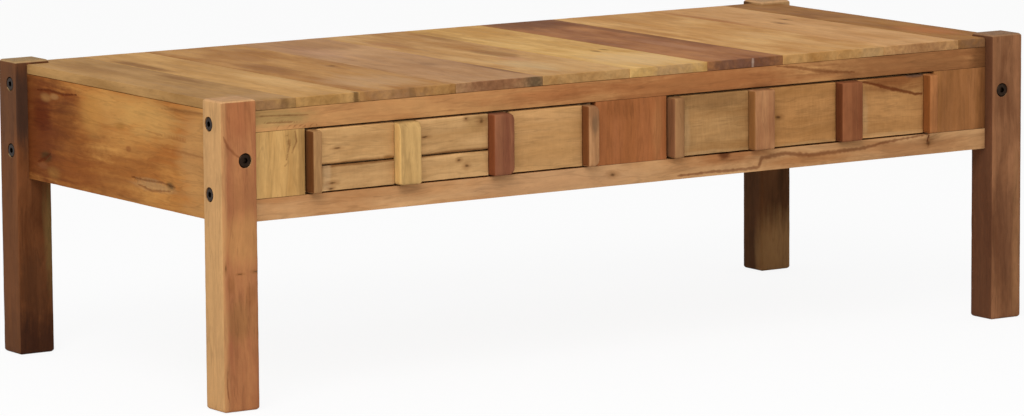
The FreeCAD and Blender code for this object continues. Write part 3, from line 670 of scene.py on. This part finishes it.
# Table top: ten boards laid from front to back and screwed to the bearers from below, oiled like the legs.
# Each comes from another old beam, from yellow to chocolate brown, so the joints show as steps in tone.
TOP_WOODS = [
    (("987040", "b58a55"), 31.0, [
        ((-463, -15, 0), (10, 60, 0), "80542a", 0.7),
        ((-462, -237, 0), (6, 9, 0), "6e4c2a", 0.6),
        ((-500, 120, 0), (24, 80, 0), "946838", 0.45),
        ((-490, -200, 0), (40, 30, 0), "b8916a", 0.4),
        ((-490, -241, 0), (45, 7, 0), "a97c56", 0.6),
    ], []),
    (("ae8048", "cb9c60"), 32.0, [
        ((-437, 115, 0), (11, 80, 0), "7c5126", 0.8),
        ((-390, -90, 0), (26, 90, 0), "cfa46c", 0.6),
        ((-370, -237, 0), (4, 9, 0), "5c3d20", 0.75),
    ], []),
    (("996632", "ba8a52"), 33.0, [
        ((-336, 5, 0), (24, 60, 0), "8a5a2c", 0.7),
        ((-300, 130, 0), (40, 70, 0), "9a6632", 0.5),
        ((-300, -160, 0), (60, 70, 0), "c0986c", 0.6),
        ((-320, -241, 0), (62, 7, 0), "ab7f58", 0.7),
        ((-298, -237, 0), (5, 9, 0), "85603a", 0.6),
    ], [((-262, -12, 0), (4, 7, 0))]),
    (("a4784f", "c09366"), 34.0, [
        ((-128, -155, 0), (7, 80, 0), "70492a", 0.65),
        ((-205, 120, 0), (30, 90, 0), "b08468", 0.4),
        ((-165, -62, 0), (10, 14, 0), "8a6440", 0.5),
        ((-136, -240, 0), (19, 7, 0), "4f4632", 0.8),
        ((-195, -240, 0), (66, 7, 0), "814e33", 0.7),
        ((-170, 180, 0), (60, 70, 0), "97693f", 0.5),
    ], []),
    (("a87640", "c99c64"), 35.0, [
        ((-46, -25, 0), (17, 55, 0), "8b5c2e", 0.7),
        ((-58, -80, 0), (18, 30, 0), "b5805a", 0.5),
        ((-105, 125, 0), (20, 40, 0), "a9785a", 0.4),
        ((-78, -140, 0), (26, 65, 0), "caa878", 0.6),
        ((-14, 150, 0), (11, 70, 0), "8a5e2c", 0.6),
        ((-100, 120, 0), (14, 75, 0), "9f6930", 0.5),
    ], []),
    (("c08f4c", "ddb270"), 36.0, [
        ((2, 160, 0), (11, 70, 0), "97682f", 0.5),
        ((60, 170, 0), (65, 90, 0), "b27d3c", 0.6),
        ((50, -160, 0), (60, 75, 0), "d8b484", 0.5),
        ((60, -240, 0), (48, 7, 0), "bd9468", 0.7),
        ((60, -74, 0), (5, 12, 0), "805a26", 0.75),
        ((76, -66, 0), (6, 12, 0), "8a622a", 0.75),
    ], []),
    (("834e2b", "ac7548"), 37.0, [
        ((202, 40, 0), (13, 180, 0), "70421f", 0.6),
        ((168, -70, 0), (16, 85, 0), "ae7c58", 0.5),
        ((154, 210, 0), (75, 70, 0), "5f351a", 0.7),
        ((155, -240, 0), (64, 8, 0), "755040", 0.8),
        ((166, -240, 0), (2.2, 6, 0), "cdb09a", 0.7),
    ], []),
    (("b88246", "d4a468"), 38.0, [
        ((224, 40, 0), (10, 130, 0), "a66e34", 0.55),
        ((310, -100, 0), (18, 110, 0), "daae76", 0.4),
        ((290, 190, 0), (70, 80, 0), "b0793c", 0.5),
        ((340, -240, 0), (24, 7, 0), "c09a6c", 0.6),
    ], []),
    (("b8844e", "d09e68"), 39.0, [
        ((360, 120, 0), (10, 120, 0), "9c602c", 0.65),
        ((410, -241, 0), (60, 7, 0), "a06e48", 0.7),
    ], [((404, 33, 0), (4, 12, 0)), ((433, 63, 0), (3, 9, 0))]),
    (("875726", "a8753e"), 40.0, [
        ((500, -130, 0), (28, 65, 0), "b8703a", 0.6),
        ((490, -241, 0), (40, 7, 0), "8f684c", 0.7),
    ], []),
]
NOTCH_GAP = Vector((0.2, 0.2, 0.2)) * MM
END_BOARDS = (1, len(TOP_WOODS))


def notch(board):
    """Cut the corners of an end board away round the legs."""
    bpy.ops.object.mode_set(mode="OBJECT")
    for leg in LEG_WOODS:
        low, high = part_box(leg)
        bpy.ops.object.select_all(action="DESELECT")
        bpy.ops.mesh.primitive_cube_add(size=1, location=(low + high) / 2, scale=high - low + 2 * NOTCH_GAP)
        cut_away(board, bpy.context.object)
    board.select_set(True)
    bpy.ops.object.mode_set(mode="EDIT")


for number, (tones, seed, marks, knots) in enumerate(TOP_WOODS, start=1):
    node = f"top_board_{number:02d}"
    board = saw_board(node, arris=0.6, wear=0.3, shape=notch if number in END_BOARDS else None)
    wood = old_wood(f"oiled_hardwood_{node}", "Y", tones, seed, marks, knots=knots, cloud=1.4, fine=0.5)
    fix_board(board, node, "table", wood)

# Drawer panels: thin flat boards glued to the front of each box, their grain along the table, and oiled.
# In the left drawer two of them are made up of a lower and an upper board. The right ones are rough from
# the saw, and one has a crack.
# A painted brown shade along the joint of the panels that are made up of two boards, where the groove between
# them lies in shade.
PAINTED_JOINT_SHADE = ((0, 0, 259), (0, 0, 3.2), "6e431e", 0.8)
PANEL_WOODS = {
    "drawer_left_panel_1_lower": (("9f764a", "c09664"), 51.0, 0.03, [
        PAINTED_JOINT_SHADE,
        ((-410, 0, 0), (6, 0, 0), "c9a478", 0.5),
    ], [((-403, 0, 239), (6, 0, 2)), ((-405, 0, 233), (4, 0, 1.5))]),
    "drawer_left_panel_1_upper": (("a77c4c", "c99d68"), 52.0, 0.03, [
        PAINTED_JOINT_SHADE,
        ((-330, 0, 261), (8, 0, 4), "7d5226", 0.7),
    ], [((-395, 0, 276), (6, 0, 1.5))]),
    "drawer_left_panel_2_lower": (("ac8252", "cda26e"), 53.0, 0.03, [
        PAINTED_JOINT_SHADE,
    ], [((-228, 0, 243), (4, 0, 2.5)), ((-238, 0, 250), (3, 0, 2))]),
    "drawer_left_panel_2_upper": (("ac8252", "cda26e"), 54.0, 0.03, [
        PAINTED_JOINT_SHADE,
        ((-214, 0, 290), (18, 0, 12), "9c7444", 0.6),
    ], [((-208, 0, 292), (5, 0, 4)), ((-228, 0, 296), (3, 0, 2)), ((-283, 0, 281), (6, 0, 1.5))]),
    "drawer_left_panel_3": (("ad804e", "c69763"), 55.0, 0.03, [], []),
    "drawer_right_panel_1": (("92683c", "b78c5a"), 56.0, 0.07, [
        ((110, 0, 292), (55, 0, 12), "87623c", 0.6),
        # A pale band down the left edge: a painted highlight on the bevelled edge.
        ((72, 0, 258), (6, 0, 28), "bd9668", 0.5),
        ((110, 0, 231), (60, 0, 5), "bd9668", 0.45),
    ], []),
    "drawer_right_panel_2": (("9a6b3c", "b98550"), 57.0, 0.06, [
        ((240, 0, 231), (55, 0, 5), "c09664", 0.45),
    ], [((201, 0, 266), (5, 0, 2.5))]),
    "drawer_right_panel_3": (("9e6f40", "bc8954"), 58.0, 0.05, [
        ((372, 0, 297), (60, 0, 15), "804c28", 0.9),
        # A pale band down the left edge: a painted highlight on the bevelled edge.
        ((325, 0, 256), (6, 0, 28), "c49a6a", 0.5),
        ((370, 0, 231), (55, 0, 5), "c49a6a", 0.45),
        # A painted shadow in the wane at the top right corner.
        ((402, 0, 300), (18, 0, 4), "523e34", 0.8),
    ], []),
}
for node, (tones, seed, sawn, marks, knots) in PANEL_WOODS.items():
    panel = saw_board(node, arris=1, wear=0.9, cell=5)
    if node == "drawer_right_panel_3":
        front_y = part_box(node)[0].y / MM
        line = [(322, 297), (335, 294), (360, 287), (385, 281), (400, 277), (412, 277)]
        crack(panel, [(x, front_y, z) for x, z in line], FRONT_OUT, half_width=3, depth=0.8, dark=0.8)
    body = "_".join(node.split("_")[:2])
    wood = old_wood(f"oiled_hardwood_{node}", "X", tones, seed, marks, knots=knots, sawn=sawn)
    fix_board(panel, node, body, wood)

# Drawer battens: raised upright blocks of oiled wood, glued on between the panels, which a hand pulls on.
# Their edges are rubbed round, one has a sloping top, and their left sides have a tone of their own:
# partly the old surface, and partly painted shade from the gap beside them.
BATTEN_WOODS = {
    "drawer_left_batten_1": (("946c44", "b08456"), 61.0, "5e3416", []),
    "drawer_left_batten_2": (("a88350", "cda468"), 62.0, "d8ae6c", []),
    "drawer_left_batten_3": (("74432e", "925e40"), 63.0, "7a4224", []),
    "drawer_left_batten_4": (("9c6d45", "c59468"), 64.0, "6e3d1c", [
        ((-62, 0, 290), (12, 0, 22), "83583a", 0.6),
        ((-62, 0, 278), (5, 0, 14), "6f553c", 0.6),
    ]),
    "drawer_right_batten_1": (("845c38", "a0744c"), 65.0, "7d5235", []),
    "drawer_right_batten_2": (("976542", "c08c5e"), 66.0, "86592f", []),
    "drawer_right_batten_3": (("724026", "925a38"), 67.0, "5e321a", []),
    "drawer_right_batten_4": (("935e36", "bd7c4a"), 68.0, "804a22", []),
}
CORNER_ROUND = 8 * MM
SLOPE_HEIGHT = 8 * MM
SLOPE_DEPTH = 3.5 * MM


def round_right_corners(batten):
    """Round the two corners of a batten that lie on its right."""
    mesh = bmesh.from_edit_mesh(batten.data)
    right = max(vertex.co.x for vertex in mesh.verts)
    for edge in mesh.edges:
        along_depth = abs(edge.verts[0].co.y - edge.verts[1].co.y) > 5 * MM
        edge.select_set(along_depth and min(vertex.co.x for vertex in edge.verts) > right - 0.1 * MM)
    bmesh.update_edit_mesh(batten.data)
    bpy.ops.mesh.bevel(offset=CORNER_ROUND, segments=6, affect="EDGES")


def slope_top(batten):
    """Cut the top of a batten back to a slope."""
    mesh = bmesh.from_edit_mesh(batten.data)
    top = max(vertex.co.z for vertex in mesh.verts)
    front = min(vertex.co.y for vertex in mesh.verts)
    bpy.ops.mesh.select_all(action="SELECT")
    bpy.ops.mesh.bisect(plane_co=(0, 0, top - SLOPE_HEIGHT), plane_no=(0, 0, 1))
    bpy.ops.mesh.select_all(action="DESELECT")
    mesh = bmesh.from_edit_mesh(batten.data)
    for edge in mesh.edges:
        edge.select_set(all(v.co.z > top - MM and v.co.y < front + MM for v in edge.verts))
    bmesh.update_edit_mesh(batten.data)
    bpy.ops.transform.translate(value=(0, SLOPE_DEPTH, 0))


BATTEN_SHAPES = {
    "drawer_left_batten_2": slope_top,
    "drawer_left_batten_3": round_right_corners,
    "drawer_left_batten_4": round_right_corners,
}
for node, (tones, seed, side_tone_and_shade, marks) in BATTEN_WOODS.items():
    batten = saw_board(node, arris=2.6, wear=1.0, cell=5, shape=BATTEN_SHAPES.get(node))
    body = "_".join(node.split("_")[:2])
    # The left side's colour: partly the old surface's tone, partly painted shade from the gap.
    old_side_and_shade = [((-1, 0, 0), side_tone_and_shade, 0.9, 0.6)]
    wood = old_wood(f"oiled_hardwood_{node}", "Z", tones, seed, marks, old_side_and_shade)
    fix_board(batten, node, body, wood)

# Drawer boxes: four thin planed mango boards, screwed at the corners, and a plywood bottom in a groove.
# They are left without oil, and show only when a drawer is out: pale, plain and dull.
box_wood_across = old_wood("planed_mango_box_ends", "X", ("b08c60", "caa87c"), 83.0)
box_wood_along = old_wood("planed_mango_box_sides", "Y", ("b08c60", "caa87c"), 84.0)
plywood = old_wood("plywood_bottoms", "X", ("c0a075", "d6b98e"), 85.0)
for drawer in ("drawer_left", "drawer_right"):
    clothe(f"{drawer}_box_front", box_wood_across)
    clothe(f"{drawer}_back", box_wood_across)
    clothe(f"{drawer}_side_left", box_wood_along)
    clothe(f"{drawer}_side_right", box_wood_along)
    clothe(f"{drawer}_bottom", plywood)


# Bolts, nuts and screws: blackened steel bolts with socket heads, turned into zinc-plated nuts from outside.
# The black oxide looks nearly black with a soft, patchy sheen; the zinc is brighter and a little cloudy.
def steel(name, dark, pale, rough):
    """Steel with a thin coat: colour and roughness drift over a few millimetres."""
    material = bpy.data.materials.new(name)
    material.use_nodes = True
    tree = material.node_tree
    tree.nodes.clear()
    place = add(tree, "ShaderNodeTexCoord", {}, {}).outputs["Object"]
    cloud = add(
        tree, "ShaderNodeTexNoise", {}, {"Vector": place, "Scale": 1 / (4 * MM), "Detail": 3.0}
    ).outputs[0]
    colour = add(
        tree, "ShaderNodeMix", {"data_type": "RGBA"}, {"Factor": cloud, "A": linear(dark), "B": linear(pale)}
    ).outputs["Result"]
    roughness = add(
        tree, "ShaderNodeMapRange", {}, {"Value": cloud, "To Min": rough - 0.1, "To Max": rough + 0.1}
    ).outputs[0]
    relief = add(
        tree, "ShaderNodeBump", {}, {"Strength": 0.2, "Distance": 0.1 * MM, "Height": cloud}
    ).outputs[0]
    shader = add(
        tree, "ShaderNodeBsdfPrincipled", {},
        {"Base Color": colour, "Metallic": 1.0, "Roughness": roughness, "Normal": relief},
    ).outputs[0]
    add(tree, "ShaderNodeOutputMaterial", {}, {"Surface": shader})
    return material


black_oxide = steel("blackened_steel_bolts", "1a130e", "3e2f25", 0.42)
zinc = steel("zinc_plated_steel", "8e9297", "b9bdc0", 0.38)
for node in ("end_face_bolts", "long_face_bolts"):
    clothe(node, black_oxide)
for node in ("barrel_nuts", "top_screws", "drawer_left_screws", "drawer_right_screws"):
    clothe(node, zinc)


# Floor, light and camera: a white paper floor, white all round and one large soft lamp to the viewer's left.
# The paper looks pure white and takes a faint shadow. The camera stands far off, a little above the table.
def seen_directly(tree):
    """1 for rays that the camera sees straight, in a mirror or through glass, and 0 for all other light."""
    path = add(tree, "ShaderNodeLightPath", {}, {})
    straight = add(
        tree, "ShaderNodeMath", {"operation": "MAXIMUM"},
        {0: path.outputs["Is Camera Ray"], 1: path.outputs["Is Glossy Ray"]},
    ).outputs[0]
    return add(
        tree, "ShaderNodeMath", {"operation": "MAXIMUM"},
        {0: straight, 1: path.outputs["Is Transmission Ray"]},
    ).outputs[0]


FLOOR_DROP = 0.2 * MM
GLOW_SHARE = 0.9
FILL_LIGHT = 0.56
bpy.ops.object.select_all(action="DESELECT")
bpy.ops.mesh.primitive_plane_add(size=60, location=(0, 0, -FLOOR_DROP))
floor = bpy.context.object
floor.name = "studio_floor"
paper = bpy.data.materials.new("white_paper")
paper.use_nodes = True
tree = paper.node_tree
tree.nodes.clear()
matt = add(tree, "ShaderNodeBsdfDiffuse", {}, {"Color": linear("fafafa")}).outputs[0]
glow = add(tree, "ShaderNodeEmission", {}, {"Color": linear("ffffff"), "Strength": 1.0}).outputs[0]
seen_share = add(
    tree, "ShaderNodeMath", {"operation": "MULTIPLY"}, {0: seen_directly(tree), 1: GLOW_SHARE}
).outputs[0]
surface = add(tree, "ShaderNodeMixShader", {}, {0: seen_share, 1: matt, 2: glow}).outputs[0]
add(tree, "ShaderNodeOutputMaterial", {}, {"Surface": surface})
floor.data.materials.append(paper)

world = bpy.data.worlds.new("white_studio")
world.use_nodes = True
bpy.context.scene.world = world
tree = world.node_tree
tree.nodes.clear()
level = add(
    tree, "ShaderNodeMapRange", {}, {"Value": seen_directly(tree), "To Min": FILL_LIGHT, "To Max": 1.0}
).outputs[0]
sky = add(tree, "ShaderNodeBackground", {}, {"Color": linear("ffffff"), "Strength": level}).outputs[0]
add(tree, "ShaderNodeOutputWorld", {}, {"Surface": sky})

LAMP_PLACE = Vector((-2.2, -2.4, 3.0))
LAMP_AIM = Vector((0, 0, 0.25))
bpy.ops.object.light_add(type="AREA", location=LAMP_PLACE)
lamp = bpy.context.object
lamp.name = "key_lamp"
lamp.data.size = 2.6
lamp.data.energy = 97
lamp.rotation_euler = (LAMP_AIM - LAMP_PLACE).to_track_quat("-Z", "Y").to_euler()

AZIMUTH = math.radians(-33.5745)
ELEVATION = math.radians(8.2514)
ROLL = math.radians(-0.3899)
VIEW_DISTANCE = 6.4374
VIEW_CENTRE = Vector((-0.0097, 0, 0.1495))
FOCAL_PIXELS = 5509.0
IMAGE_WIDTH = 1024
back = Vector((
    math.sin(AZIMUTH) * math.cos(ELEVATION), -math.cos(AZIMUTH) * math.cos(ELEVATION), math.sin(ELEVATION)
))
right = Vector((math.cos(AZIMUTH), math.sin(AZIMUTH), 0))
up = back.cross(right)
tilted_right = right * math.cos(ROLL) + up * math.sin(ROLL)
tilted_up = back.cross(tilted_right)
bpy.ops.object.camera_add()
camera = bpy.context.object
camera.name = "photo_camera"
camera.data.sensor_width = 36
camera.data.lens = FOCAL_PIXELS * camera.data.sensor_width / IMAGE_WIDTH
camera.data.clip_end = 100
turn = Matrix((tilted_right, tilted_up, back)).transposed().to_4x4()
camera.matrix_world = Matrix.Translation(VIEW_CENTRE + back * VIEW_DISTANCE) @ turn
bpy.context.scene.camera = camera
bpy.context.scene.view_settings.view_transform = "Standard"
